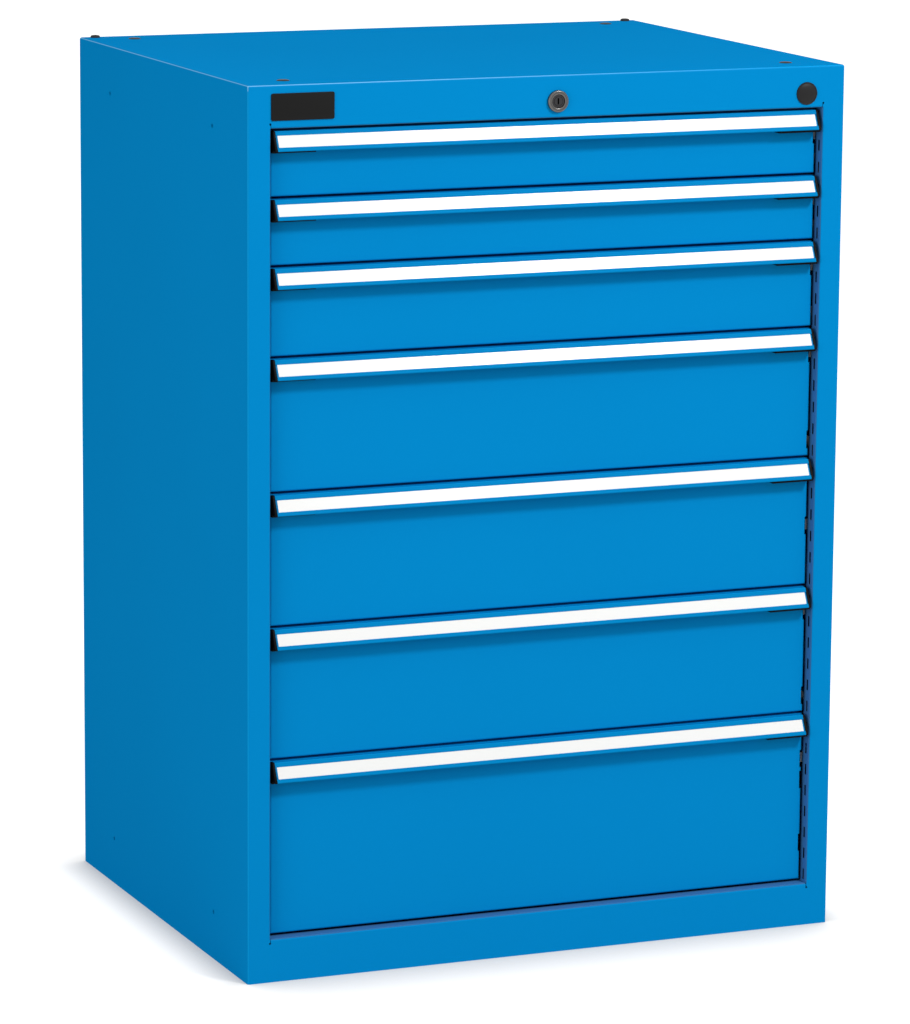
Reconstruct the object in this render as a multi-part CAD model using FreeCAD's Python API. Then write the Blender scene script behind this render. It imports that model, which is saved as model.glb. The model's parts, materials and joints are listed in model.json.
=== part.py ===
import FreeCAD, Part
import math
import os

# Modular drawer cabinet in folded sheet steel, seven drawers on telescopic slides.
# Millimetres. X runs to the right, Y to the back, Z up.
# The origin is the middle of the carcass on the floor, handles left out.

# Carcass
carcass_width = 717.0
carcass_depth = 572.0
carcass_sheet = 1.5
bend_radius = 2.5
post_width = 27.0
post_return = 16.0
header_height = 47.5
sill_height = 49.5
rear_flange_height = 25.0
lap_flange_height = 20.0
lap_flange_setback = 11.0
back_panel_lap = 18.5
back_panel_edge_gap = 3.5

# Corner relief of the front opening
relief_slit_width = 0.8
relief_slit_height = 5.0
relief_hole_radius = 1.2

# Drawer stack, counted in units of the hanging pitch, from the top
pitch = 25.0
front_units = (3, 3, 4, 6, 6, 6, 8)
sill_gap = 3.0

# Hanging slots in the posts and the rear uprights
slot_height = 12.5
slot_width = 3.5
slot_rise = 6.4
slot_edge_distance = 7.5
upright_depth = 25.0

# Drawer front, a tray of folded sheet
front_sheet = 1.5
front_recess = 11.5
front_depth = 18.5
front_side_gap = 3.5
front_top_gap = 3.0
front_bend_radius = 2.0
front_seat_lap = 8.0

# Slots in the right edge of the fronts, in pitch steps below the first one
edge_slot_steps = ((0,), (), (0,), (0, 4), (2,), (0, 4), (1, 2, 5))
lock_slot_steps = (0, 0, 0, 0, 2, 0, 1)
edge_slot_drop = 42.0
edge_slot_height = 21.0
edge_slot_inset = 2.5
edge_slot_land = 7.0

# Drawer tub
tub_sheet = 1.0
slide_space = 24.5
tub_rise = 8.0
tub_top_drop = 19.0
tub_rear_space = 78.0

# Telescopic slides
slide_sheet = 1.5
slide_height = 34.0
slide_rise = 10.0
slide_front_gap = 2.0
slide_rear_gap = 13.0
slide_post_gap = 0.5
slide_mouth_gap = 1.0
bar_thickness = 2.5
bar_height = 24.0
bar_rear_gap = 2.0
travel_past_tub = 9.0
roller_gap = 0.3
roller_side_gap = 0.4
roller_end_gap = 1.0
roller_bore_clearance = 0.05
pin_radius = 4.0
pin_head_radius = 5.5
pin_head_thickness = 0.8

# Hooks that hang the cabinet rails in the slots
hook_sheet = 1.5
hook_post_gap = 0.2
hook_height_above_slot = 14.0
hook_foot = 12.0
hook_clearance = 0.25
hook_recess = 1.0

# Handle profile
handle_drop = 21.7
handle_shelf = 6.5
handle_slant = 10.5
handle_wall = 2.4
handle_shelf_wall = 1.8
handle_lip = 5.0
handle_lip_wall = 1.6
handle_back_wall = 1.5
handle_back_height = 15.0
handle_edge_radius = 0.8
cap_thickness = 3.0

# Label strip in the handle's channel
label_start = 5.2
label_width = 13.9
label_thickness = 0.6
label_channel_depth = 1.0
label_slip = 0.1
label_end_gap = 2.0

# Black end cap of the handle
cap_foot_length = 48.0
cap_foot_thickness = 2.6
cap_foot_setback = 1.0

# Name plate, left blank
plate_width = 73.0
plate_height = 29.5
plate_thickness = 1.2
plate_corner_radius = 2.2
plate_above_opening = 8.7

# Round plug in the header
plug_radius = 12.8
plug_flange = 1.2
plug_dome = 1.6
plug_stem_radius = 10.5
plug_stem_length = 6.0
plug_post_distance = 20.5
plug_above_opening = 16.5
plug_fit = 0.1

# Small plugs in the roof
roof_plug_radius = 7.25
roof_plug_flange = 0.7
roof_plug_dish_radius = 4.6
roof_plug_dish_depth = 0.4
roof_plug_stem_radius = 5.6
roof_plug_stem_length = 5.0

# Fixing holes, in a rectangle that base and roof share
fixing_spacing_x = 606.0
fixing_spacing_y = 494.0
base_hole_radius = 5.5

# Rubber caps at the rear corners of the roof
rear_cap_radius = 5.5
rear_cap_height = 3.0
rear_cap_stem_radius = 3.0
rear_cap_stem_length = 5.0
rear_cap_side_distance = 16.5
rear_cap_back_distance = 10.0

# Side fixing holes
side_hole_radius = 2.5
side_hole_spacing_y = 348.0
side_hole_end_distance = 55.0

# Lock in the header
lock_x = 5.0
lock_above_opening = 18.5
lock_bezel_radius = 12.25
lock_bezel_thickness = 3.5
lock_bezel_chamfer = 1.0
lock_barrel_radius = 9.5
lock_barrel_length = 17.0
lock_hole_clearance = 0.1
lock_nut_radius = 13.0
lock_nut_thickness = 4.0
core_radius = 7.5
core_clearance = 0.05
core_recess = 1.2
key_slot_height = 7.0
key_slot_width = 1.8
key_slot_depth = 5.0
stub_radius = 2.5

# Cam and locking bar
lock_travel = 8.0
cam_thickness = 2.0
cam_radius = 8.6
cam_pin_radius = 1.5
bar_cam_gap = 0.4
cam_pin_slot_gap = 0.5
lock_bar_thickness = 3.0
lock_bar_width = 12.0
lock_bar_gap = 2.0
lock_arm_height = 10.0
lock_arm_drop = 3.1
tongue_height = 12.0
tongue_rest_gap = 1.5
guide_wall = 2.0
guide_gap = 0.3
guide_height = 20.0
guide_reach = 20.0
guide_end_distance = 90.0
guide_count = 3
lock_bar_foot = 40.0

# How far a cutter runs past the wall that it cuts, and the shortest edge worth drawing
overshoot = 1.0
shortest_edge = 1e-6

# Places worked out from the sizes above
half_width = carcass_width / 2
front_y = -carcass_depth / 2
back_y = carcass_depth / 2
stack_bottom = sill_height + sill_gap
stack_top = stack_bottom + pitch * sum(front_units)
carcass_height = stack_top + header_height
opening_half = half_width - post_width
inner_half = half_width - carcass_sheet
back_inner = back_y - 2 * carcass_sheet
front_face = front_y + front_recess
tub_front = front_face + front_depth
tub_back = back_inner - tub_rear_space
tub_half = opening_half - slide_space
front_half = opening_half - front_side_gap
rail_front = tub_front + slide_front_gap
rail_back = back_inner - slide_rear_gap
rail_depth = (slide_space - slide_post_gap - slide_mouth_gap) / 2
bar_centre = tub_half + rail_depth + slide_mouth_gap / 2
half_travel = (tub_back - tub_front + travel_past_tub) / 2
roller_radius = slide_height / 2 - slide_sheet - roller_gap
post_slot_y = front_y + slot_edge_distance
upright_slot_y = back_inner - upright_depth / 2
lock_z = stack_top + lock_above_opening
lock_bar_front = front_y + post_return + lock_bar_gap
lock_bar_back = lock_bar_front + lock_bar_thickness
handle_half = front_half - cap_thickness
slant_length = math.hypot(handle_slant, handle_drop)
slant_down = FreeCAD.Vector(0, -handle_slant / slant_length, -handle_drop / slant_length)
slant_out = FreeCAD.Vector(0, -handle_drop / slant_length, handle_slant / slant_length)


def vector(x, y, z):
    return FreeCAD.Vector(x, y, z)


def box(x0, x1, y0, y1, z0, z1):
    return Part.makeBox(x1 - x0, y1 - y0, z1 - z0, vector(x0, y0, z0))


def disc(radius, length, base, direction):
    return Part.makeCylinder(radius, length, base, direction)


def joined(pieces):
    """One solid from pieces that touch or overlap."""
    shape = pieces[0]
    for piece in pieces[1:]:
        shape = shape.fuse(piece)
    return shape.removeSplitter()


def without(shape, cutters):
    if not cutters:
        return shape
    return shape.cut(Part.makeCompound(cutters))


def mirrored(shape):
    return shape.mirror(vector(0, 0, 0), vector(1, 0, 0))


def both_sides(shape):
    return [shape, mirrored(shape)]


def rounded_face(points, radii):
    """A flat face whose corners are arcs tangent to both edges; radius 0 leaves a corner sharp."""
    count = len(points)
    edges = []
    ends = []
    for i in range(count):
        corner = points[i]
        to_last = (points[i - 1] - corner).normalize()
        to_next = (points[(i + 1) % count] - corner).normalize()
        if radii[i] <= 0:
            ends.append((corner, corner, None))
            continue
        half_angle = to_last.getAngle(to_next) / 2
        reach = radii[i] / math.tan(half_angle)
        bisector = (to_last + to_next).normalize()
        depth = radii[i] / math.sin(half_angle) - radii[i]
        ends.append((corner + to_last * reach, corner + to_next * reach, corner + bisector * depth))
    for i in range(count):
        start, stop, middle = ends[i]
        if middle is not None:
            edges.append(Part.Arc(start, middle, stop).toShape())
        following = ends[(i + 1) % count][0]
        if (following - stop).Length > shortest_edge:
            edges.append(Part.LineSegment(stop, following).toShape())
    return Part.Face(Part.Wire(edges))


def folded_face(path, thickness, normal, radius, sharp=()):
    """Section of a folded sheet: path is its outer face, the sheet lies to the left of it."""
    inner = []
    last = len(path) - 1
    for i, point in enumerate(path):
        sides = []
        if i > 0:
            sides.append(normal.cross(path[i] - path[i - 1]).normalize())
        if i < last:
            sides.append(normal.cross(path[i + 1] - path[i]).normalize())
        total = sides[0] if len(sides) == 1 else (sides[0] + sides[1]) * (1 / (1 + sides[0].dot(sides[1])))
        inner.append(point + total * thickness)
    outer_radii = [0 if i in (0, last) or i in sharp else radius for i in range(last + 1)]
    inner_radii = [0 if r == 0 else r - thickness for r in outer_radii]
    return rounded_face(path + inner[::-1], outer_radii + inner_radii[::-1])


def drawer_levels():
    """Top and bottom height of every drawer's share of the stack, from the top."""
    levels = []
    top = stack_top
    for units in front_units:
        levels.append((top, top - units * pitch))
        top -= units * pitch
    return levels


def slot_heights():
    return [stack_bottom + slot_rise + pitch * step for step in range(sum(front_units))]


def hanging_slots(y):
    """Cutters for the column of hanging slots, through a wall that starts at the opening's edge."""
    return [
        box(opening_half - overshoot, opening_half + carcass_sheet + overshoot,
            y - slot_width / 2, y + slot_width / 2,
            z - slot_height / 2, z + slot_height / 2)
        for z in slot_heights()
    ]


def corner_reliefs():
    """Slit and round hole beside each corner of the front opening, on the right."""
    cutters = []
    for level, way in ((stack_top, 1), (sill_height, -1)):
        far = level + way * relief_slit_height
        low, high = min(level, far), max(level, far)
        cutters.append(box(opening_half - relief_slit_width / 2, opening_half + relief_slit_width / 2,
                           front_y - overshoot, front_y + carcass_sheet + overshoot, low, high))
        cutters.append(disc(relief_hole_radius, carcass_sheet + 2 * overshoot,
                            vector(opening_half + relief_hole_radius / 2, front_y - overshoot, far),
                            vector(0, 1, 0)))
    return cutters


def side_panel():
    """Right side: outer wall, front post with its slotted return, and rear flange, from one sheet."""
    up = vector(0, 0, 1)
    x0, x1 = opening_half, half_width
    plain = [vector(x0, front_y, 0), vector(x1, front_y, 0), vector(x1, back_y, 0), vector(x0, back_y, 0)]
    window = [vector(x0, front_y + post_return, sill_height)]
    window += [point + vector(0, 0, sill_height) for point in plain]
    roof_line = carcass_height - bend_radius
    lower = folded_face(plain, carcass_sheet, up, bend_radius)
    middle = folded_face(window, carcass_sheet, up, bend_radius)
    raised = [point + vector(0, 0, stack_top) for point in plain]
    upper = folded_face(raised, carcass_sheet, up, bend_radius)
    shape = joined([
        lower.extrude(vector(0, 0, sill_height)),
        middle.extrude(vector(0, 0, stack_top - sill_height)),
        upper.extrude(vector(0, 0, roof_line - stack_top)),
    ])
    holes = [
        disc(side_hole_radius, carcass_sheet + 2 * overshoot,
             vector(inner_half - overshoot, y, z), vector(1, 0, 0))
        for y in (-side_hole_spacing_y / 2, side_hole_spacing_y / 2)
        for z in (side_hole_end_distance, carcass_height - side_hole_end_distance)
    ]
    return without(shape, hanging_slots(post_slot_y) + corner_reliefs() + holes)


def fixing_points():
    return [vector(sx * fixing_spacing_x / 2, sy * fixing_spacing_y / 2, 0)
            for sx in (-1, 1) for sy in (-1, 1)]


def rear_cap_points():
    x = half_width - rear_cap_side_distance
    y = back_y - rear_cap_back_distance
    return [vector(-x, y, carcass_height), vector(x, y, carcass_height)]


def top_panel():
    """Roof with rounded edges, the header folded down in front of it, and weld flanges below."""
    roof_line = carcass_height - bend_radius
    blank = box(-half_width, half_width, front_y, back_y, stack_top, carcass_height)
    rim = [edge for edge in blank.Edges if edge.BoundBox.ZMax > roof_line]
    blank = blank.makeFillet(bend_radius, rim)
    hollow = box(-inner_half, inner_half, front_y + carcass_sheet, back_y - carcass_sheet,
                 stack_top - overshoot, carcass_height - carcass_sheet)
    hollow_rim = [edge for edge in hollow.Edges if edge.BoundBox.ZMax > roof_line]
    hollow = hollow.makeFillet(bend_radius - carcass_sheet, hollow_rim)
    roof = blank.cut(hollow)
    roof = roof.common(box(-half_width, half_width, front_y, back_y, roof_line, carcass_height))
    header_path = [
        vector(-opening_half, front_y, roof_line),
        vector(-opening_half, front_y, stack_top),
        vector(-opening_half, front_y + post_return, stack_top),
    ]
    header = folded_face(header_path, carcass_sheet, vector(1, 0, 0), bend_radius)
    header = header.extrude(vector(2 * opening_half, 0, 0))
    rear = box(-opening_half, opening_half, back_y - carcass_sheet, back_y,
               carcass_height - rear_flange_height, roof_line)
    lap = box(inner_half - carcass_sheet, inner_half,
              front_y + lap_flange_setback, back_y - lap_flange_setback,
              carcass_height - lap_flange_height, carcass_height - carcass_sheet)
    shape = joined([roof, header, rear, lap, mirrored(lap)])
    down = vector(0, 0, -1)
    above = vector(0, 0, carcass_height + overshoot)
    holes = [disc(roof_plug_stem_radius + plug_fit, carcass_sheet + 2 * overshoot, point + above, down)
             for point in fixing_points()]
    holes += [disc(rear_cap_stem_radius + plug_fit, carcass_sheet + 2 * overshoot,
                   point - down * overshoot, down)
              for point in rear_cap_points()]
    inward = vector(0, 1, 0)
    holes.append(disc(lock_barrel_radius + lock_hole_clearance, carcass_sheet + 2 * overshoot,
                      vector(lock_x, front_y - overshoot, lock_z), inward))
    holes.append(disc(plug_stem_radius + plug_fit, carcass_sheet + 2 * overshoot,
                      header_plug_centre() - inward * overshoot, inward))
    reliefs = corner_reliefs()
    return without(shape, holes + reliefs + [mirrored(cutter) for cutter in reliefs])


def base_panel():
    """Floor sheet with the sill folded up in front and a low flange behind."""
    path = [
        vector(-opening_half, front_y + post_return, sill_height),
        vector(-opening_half, front_y, sill_height),
        vector(-opening_half, front_y, 0),
        vector(-opening_half, back_y, 0),
        vector(-opening_half, back_y, rear_flange_height),
    ]
    section = folded_face(path, carcass_sheet, vector(1, 0, 0), bend_radius, sharp=(2, 3))
    tray = section.extrude(vector(2 * opening_half, 0, 0))
    wing = box(opening_half, inner_half, front_y + bend_radius, back_y - bend_radius, 0, carcass_sheet)
    shape = joined([tray, wing, mirrored(wing)])
    up = vector(0, 0, 1)
    holes = [disc(base_hole_radius, carcass_sheet + 2 * overshoot, point - up * overshoot, up)
             for point in fixing_points()]
    reliefs = corner_reliefs()
    return without(shape, holes + reliefs + [mirrored(cutter) for cutter in reliefs])


def back_panel():
    """Flat sheet that closes the back, seated inside the rear flanges."""
    half = opening_half + back_panel_lap
    return box(-half, half, back_inner, back_inner + carcass_sheet,
               carcass_sheet + back_panel_edge_gap, carcass_height - carcass_sheet - back_panel_edge_gap)


def rear_upright():
    """Right rear upright: an angle with the same column of hanging slots as the post."""
    low, high = carcass_sheet, carcass_height - bend_radius
    path = [
        vector(inner_half, back_inner, low),
        vector(opening_half, back_inner, low),
        vector(opening_half, back_inner - upright_depth, low),
    ]
    section = folded_face(path, carcass_sheet, vector(0, 0, 1), bend_radius)
    return without(section.extrude(vector(0, 0, high - low)), hanging_slots(upright_slot_y))


def rail_hook(y_slot, y_seat, way, bottom):
    """Bracket that runs beside the slotted wall and drops a nose into one slot; way is +1 to the back."""
    outer = opening_half + carcass_sheet + hook_post_gap
    slot_z = bottom + slot_rise
    low = slot_z - slot_height / 2 + hook_clearance
    nose_top = slot_z + slot_height / 2 - hook_clearance
    high = slot_z + hook_height_above_slot
    nose_half = slot_width / 2 - hook_clearance
    tip = y_slot + way * nose_half
    foot = y_seat - way * hook_foot
    plate = box(outer, outer + hook_sheet, min(tip, foot), max(tip, foot), low, high)
    nose = box(opening_half + hook_recess, outer, y_slot - nose_half, y_slot + nose_half, low, nose_top)
    seat = box(opening_half - slide_post_gap - slide_sheet, outer,
               min(y_seat, foot), max(y_seat, foot), bottom + slide_rise, high)
    return [plate, nose, seat]


def channel(x_web, x_mouth, y0, y1, bottom):
    """Roller channel: web, top leg and bottom leg."""
    way = 1 if x_mouth > x_web else -1
    web_inner = x_web + way * slide_sheet
    body = box(min(x_web, x_mouth), max(x_web, x_mouth), y0, y1, bottom, bottom + slide_height)
    hollow_end = x_mouth + way * overshoot
    hollow = box(min(web_inner, hollow_end), max(web_inner, hollow_end), y0 - overshoot, y1 + overshoot,
                 bottom + slide_sheet, bottom + slide_height - slide_sheet)
    return body.cut(hollow)


def cabinet_rail(bottom):
    """Fixed channel of one drawer on the right, with its front and rear hooks."""
    web = opening_half - slide_post_gap
    rail = channel(web, web - rail_depth, rail_front, rail_back, bottom + slide_rise)
    rear_seat = back_inner - upright_depth - slide_front_gap
    hooks = rail_hook(post_slot_y, rail_front, -1, bottom) + rail_hook(upright_slot_y, rear_seat, 1, bottom)
    return joined([rail] + hooks)


def roller(y, z, x_bar_face, way):
    """Plain roller of one slide with the hole for its pin, on one face of the bar."""
    start = x_bar_face + way * roller_side_gap
    width = roller_width()
    direction = vector(way, 0, 0)
    wheel = disc(roller_radius, width, vector(start, y, z), direction)
    return wheel.cut(disc(pin_radius + roller_bore_clearance, width, vector(start, y, z), direction))


def roller_width():
    room = rail_depth + slide_mouth_gap / 2 - slide_sheet - bar_thickness / 2
    return room - 2 * roller_side_gap - pin_head_thickness - roller_side_gap


def roller_pin(y, z, x_bar_face, way):
    """Pin riveted in the bar, with the head that keeps the roller on."""
    length = roller_width() + 2 * roller_side_gap
    direction = vector(way, 0, 0)
    root = bar_thickness / 2
    pin = disc(pin_radius, root + length, vector(x_bar_face - way * root, y, z), direction)
    head = disc(pin_head_radius, pin_head_thickness, vector(x_bar_face + way * length, y, z), direction)
    return [pin, head]


def slide_member(bottom):
    """Moving bar of one slide on the right and its four rollers, as separate solids."""
    z = bottom + slide_rise + slide_height / 2
    bar_back = rail_back - bar_rear_gap
    bar = box(bar_centre - bar_thickness / 2, bar_centre + bar_thickness / 2, rail_front, bar_back,
              z - bar_height / 2, z + bar_height / 2)
    reach = roller_radius + roller_end_gap
    inner_places = (rail_front + reach, tub_back - half_travel - reach)
    outer_places = (rail_front + half_travel + reach, bar_back - reach)
    fixed = [bar]
    rollers = []
    for places, way in ((inner_places, -1), (outer_places, 1)):
        face = bar_centre + way * bar_thickness / 2
        for y in places:
            fixed += roller_pin(y, z, face, way)
            rollers.append(roller(y, z, face, way))
    return [joined(fixed)] + rollers


def drawer_tub(top, bottom):
    """Open tub of one drawer and the two channels welded to its sides."""
    low, high = bottom + tub_rise, top - tub_top_drop
    shell = box(-tub_half, tub_half, tub_front, tub_back, low, high)
    room = box(-tub_half + tub_sheet, tub_half - tub_sheet, tub_front + tub_sheet, tub_back - tub_sheet,
               low + tub_sheet, high + overshoot)
    rail = channel(tub_half, tub_half + rail_depth, tub_front, tub_back, bottom + slide_rise)
    return [shell.cut(room), rail, mirrored(rail)]


def edge_slot(top, step, y0, y1):
    low = top - edge_slot_drop - step * pitch
    return box(front_half - edge_slot_inset, front_half + overshoot, y0, y1, low, low + edge_slot_height)


def drawer_front(top, bottom, visible_steps, lock_step):
    """Front tray: face, folded walls with returns that lap the tub's front, and slots in its right edge."""
    high = top - front_top_gap
    blank = box(-front_half, front_half, front_face, tub_front, bottom, high)
    rim = [edge for edge in blank.Edges if edge.BoundBox.YMax < front_face + front_sheet]
    blank = blank.makeFillet(front_bend_radius, rim)
    inner = front_half - front_sheet
    hollow = box(-inner, inner, front_face + front_sheet, tub_front - front_sheet,
                 bottom + front_sheet, high - front_sheet)
    window_half = tub_half - front_seat_lap
    window = box(-window_half, window_half, tub_front - front_sheet - overshoot, tub_front + overshoot,
                 bottom + tub_rise + front_seat_lap, top - tub_top_drop - front_seat_lap)
    rear = tub_front - edge_slot_land
    slots = [edge_slot(top, step, front_face - overshoot, rear) for step in visible_steps]
    if lock_step not in visible_steps:
        slots.append(edge_slot(top, lock_step, front_face + front_bend_radius, rear))
    return without(blank, [hollow, window] + slots)


def slant_point(top, along, out):
    """Point on the handle's slanted face: along runs down it, out stands off it."""
    corner = vector(0, front_face - handle_shelf, top - front_top_gap)
    return corner + slant_down * along + slant_out * out


def at_x(points, x):
    return [vector(x, point.y, point.z) for point in points]


def handle_profile(top):
    """Section of the handle: shelf, slanted face with the label channel, lip and rear flange."""
    high = top - front_top_gap
    low = high - handle_drop
    lip_y = front_face - handle_shelf - handle_slant + handle_lip
    rear_inner = front_face - handle_back_wall
    wall_shift = handle_wall * slant_length / handle_drop
    slope = handle_slant / handle_drop

    def inner_y(z):
        return front_face - handle_shelf - (high - z) * slope + wall_shift

    lip_top = low + handle_lip_wall
    shelf_under = high - handle_shelf_wall
    return [
        vector(0, front_face, high),
        slant_point(top, 0, 0),
        slant_point(top, label_start, 0),
        slant_point(top, label_start, -label_channel_depth),
        slant_point(top, label_start + label_width, -label_channel_depth),
        slant_point(top, label_start + label_width, 0),
        slant_point(top, slant_length, 0),
        vector(0, lip_y, low),
        vector(0, lip_y, lip_top),
        vector(0, inner_y(lip_top), lip_top),
        vector(0, inner_y(shelf_under), shelf_under),
        vector(0, rear_inner, shelf_under),
        vector(0, rear_inner, high - handle_back_height),
        vector(0, front_face, high - handle_back_height),
    ]


def drawer_handle(top):
    points = at_x(handle_profile(top), -handle_half)
    edge = handle_edge_radius
    radii = [0, edge, 0, 0, 0, 0, edge, 0, 0, edge, 0, edge, 0, 0]
    return rounded_face(points, radii).extrude(vector(2 * handle_half, 0, 0))


def drawer_label(top):
    """Strip that lies in the handle's channel."""
    depth = -label_channel_depth
    half = handle_half - label_end_gap
    corners = [
        slant_point(top, label_start + label_slip, depth),
        slant_point(top, label_start + label_width - label_slip, depth),
        slant_point(top, label_start + label_width - label_slip, depth + label_thickness),
        slant_point(top, label_start + label_slip, depth + label_thickness),
    ]
    return rounded_face(at_x(corners, -half), [0] * 4).extrude(vector(2 * half, 0, 0))


def handle_caps(top):
    """End plate and the foot under the lip, for the right end and its mirror image."""
    high = top - front_top_gap
    low = high - handle_drop
    foot_low = low - cap_foot_thickness
    nose = slant_point(top, slant_length, 0)
    outline = [
        vector(0, front_face, high),
        slant_point(top, 0, 0),
        nose,
        vector(0, nose.y + cap_foot_setback, foot_low),
        vector(0, front_face, foot_low),
    ]
    radii = [0, handle_edge_radius, handle_edge_radius, 0, 0]
    plate = rounded_face(at_x(outline, handle_half), radii).extrude(vector(cap_thickness, 0, 0))
    foot = box(handle_half - cap_foot_length, handle_half, nose.y + cap_foot_setback, front_face,
               foot_low, low)
    return both_sides(joined([plate, foot]))


def name_plate():
    """Blank plate on the header, flush with the opening's left edge."""
    x0, z0 = -opening_half, stack_top + plate_above_opening
    corners = [
        vector(x0, front_y, z0),
        vector(x0 + plate_width, front_y, z0),
        vector(x0 + plate_width, front_y, z0 + plate_height),
        vector(x0, front_y, z0 + plate_height),
    ]
    return rounded_face(corners, [plate_corner_radius] * 4).extrude(vector(0, -plate_thickness, 0))


def header_plug_centre():
    return vector(opening_half - plug_post_distance, front_y, stack_top + plug_above_opening)


def domed_disc(radius, rim, dome, base, direction):
    """Disc with a straight rim and a spherical top."""
    sphere_radius = (radius * radius + dome * dome) / (2 * dome)
    ball = Part.makeSphere(sphere_radius, base + direction * (rim + dome - sphere_radius))
    return disc(radius, rim + dome, base, direction).common(ball)


def header_plug():
    """Domed snap-in plug that closes the spare hole in the header."""
    centre = header_plug_centre()
    outward = vector(0, -1, 0)
    head = domed_disc(plug_radius, plug_flange, plug_dome, centre, outward)
    stem = disc(plug_stem_radius, plug_stem_length, centre, vector(0, 1, 0))
    return joined([head, stem])


def roof_plugs():
    """Four plugs in the roof's fixing holes, each with a dished middle."""
    plugs = []
    up = vector(0, 0, 1)
    for point in fixing_points():
        seat = point + vector(0, 0, carcass_height)
        head = disc(roof_plug_radius, roof_plug_flange, seat, up)
        dish = disc(roof_plug_dish_radius, roof_plug_dish_depth + overshoot,
                    seat + up * (roof_plug_flange - roof_plug_dish_depth), up)
        stem = disc(roof_plug_stem_radius, roof_plug_stem_length, seat, vector(0, 0, -1))
        plugs.append(joined([head.cut(dish), stem]))
    return plugs


def rear_caps():
    """Two rubber caps that stand on the roof's rear corners."""
    caps = []
    for point in rear_cap_points():
        rim = rear_cap_height / 2
        head = domed_disc(rear_cap_radius, rim, rear_cap_height - rim, point, vector(0, 0, 1))
        stem = disc(rear_cap_stem_radius, rear_cap_stem_length, point, vector(0, 0, -1))
        caps.append(joined([head, stem]))
    return caps


def lock_housing():
    """Bezel and barrel that hold the lock's core, and the nut behind the header."""
    inward = vector(0, 1, 0)
    face = vector(lock_x, front_y, lock_z)
    bezel = disc(lock_bezel_radius, lock_bezel_thickness, face - inward * lock_bezel_thickness, inward)
    outer_rim = [edge for edge in bezel.Edges
                 if edge.BoundBox.YMax < front_y - lock_bezel_thickness / 2]
    bezel = bezel.makeChamfer(lock_bezel_chamfer, outer_rim)
    barrel = disc(lock_barrel_radius, lock_barrel_length, face, inward)
    bore = disc(core_radius + core_clearance, lock_bezel_thickness + lock_barrel_length + 2 * overshoot,
                face - inward * (lock_bezel_thickness + overshoot), inward)
    nut = disc(lock_nut_radius, lock_nut_thickness, face + inward * carcass_sheet, inward)
    nut = nut.cut(disc(lock_barrel_radius, lock_nut_thickness, face + inward * carcass_sheet, inward))
    return [joined([bezel, barrel]).cut(bore), nut]


def core_back():
    return front_y + lock_barrel_length


def cam_front():
    return lock_bar_back + bar_cam_gap


def lock_core():
    """Turning core with its key slot, and the stub that carries the cam."""
    inward = vector(0, 1, 0)
    face_y = front_y - lock_bezel_thickness + core_recess
    plug = disc(core_radius, core_back() - face_y, vector(lock_x, face_y, lock_z), inward)
    slot = box(lock_x - key_slot_width / 2, lock_x + key_slot_width / 2,
               face_y - overshoot, face_y + key_slot_depth,
               lock_z - key_slot_height / 2, lock_z + key_slot_height / 2)
    stub_length = cam_front() + cam_thickness - core_back()
    stub = disc(stub_radius, stub_length, vector(lock_x, core_back(), lock_z), inward)
    return joined([plug.cut(slot), stub])


def cam_pin_offset():
    """The pin swings a quarter turn across the lowest point, which moves the bar by its travel."""
    return lock_travel / 2


def lock_cam():
    """Disc on the core's stub, with the pin that drives the locking bar."""
    inward = vector(0, 1, 0)
    front = cam_front()
    plate = disc(cam_radius, cam_thickness, vector(lock_x, front, lock_z), inward)
    hole = disc(stub_radius + core_clearance, cam_thickness, vector(lock_x, front, lock_z), inward)
    pin_reach = front - lock_bar_front + bar_cam_gap
    shift = cam_pin_offset()
    pin_start = vector(lock_x + shift, front - pin_reach, lock_z - shift)
    pin = disc(cam_pin_radius, pin_reach, pin_start, inward)
    return joined([plate.cut(hole), pin])


def tongue_heights():
    heights = []
    for (top, _), step in zip(drawer_levels(), lock_slot_steps):
        heights.append(top - edge_slot_drop - step * pitch + edge_slot_height / 2)
    return heights


def lock_bar():
    """Flat bar behind the right post, with a tongue for each drawer and an arm along the header."""
    y0, y1 = lock_bar_front, lock_bar_back
    outer = inner_half - guide_wall
    inner = outer - lock_bar_width
    arm_top = lock_z - lock_arm_drop
    arm_low = arm_top - lock_arm_height
    shift = cam_pin_offset()
    slot_half = cam_pin_radius + cam_pin_slot_gap
    tip = front_half + tongue_rest_gap
    half_tongue = tongue_height / 2
    tongues = [box(tip, inner, y0, y1, z - half_tongue, z + half_tongue) for z in tongue_heights()]
    upright = box(inner, outer, y0, y1, stack_bottom + lock_bar_foot, arm_top)
    arm = box(lock_x - 2 * lock_travel, inner, y0, y1, arm_low, arm_top)
    slot = box(lock_x + shift - slot_half, lock_x + shift + slot_half, y0 - overshoot, y1 + overshoot,
               lock_z - shift * math.sqrt(2) - slot_half, arm_top + overshoot)
    return joined([upright, arm] + tongues).cut(slot)


def lock_bar_guides():
    """Clips on the right wall that keep the locking bar on its plane."""
    low = stack_bottom + guide_end_distance
    high = stack_top - guide_end_distance
    clips = []
    for i in range(guide_count):
        z = low + (high - low) * i / (guide_count - 1)
        y0 = lock_bar_front - guide_gap - guide_wall
        y1 = lock_bar_back + guide_gap + guide_wall
        inner = inner_half - guide_reach
        block = box(inner, inner_half, y0, y1, z - guide_height / 2, z + guide_height / 2)
        room = box(inner - overshoot, inner_half - guide_wall + guide_gap, y0 + guide_wall, y1 - guide_wall,
                   z - guide_height, z + guide_height)
        clips.append(block.cut(room))
    return clips


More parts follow.
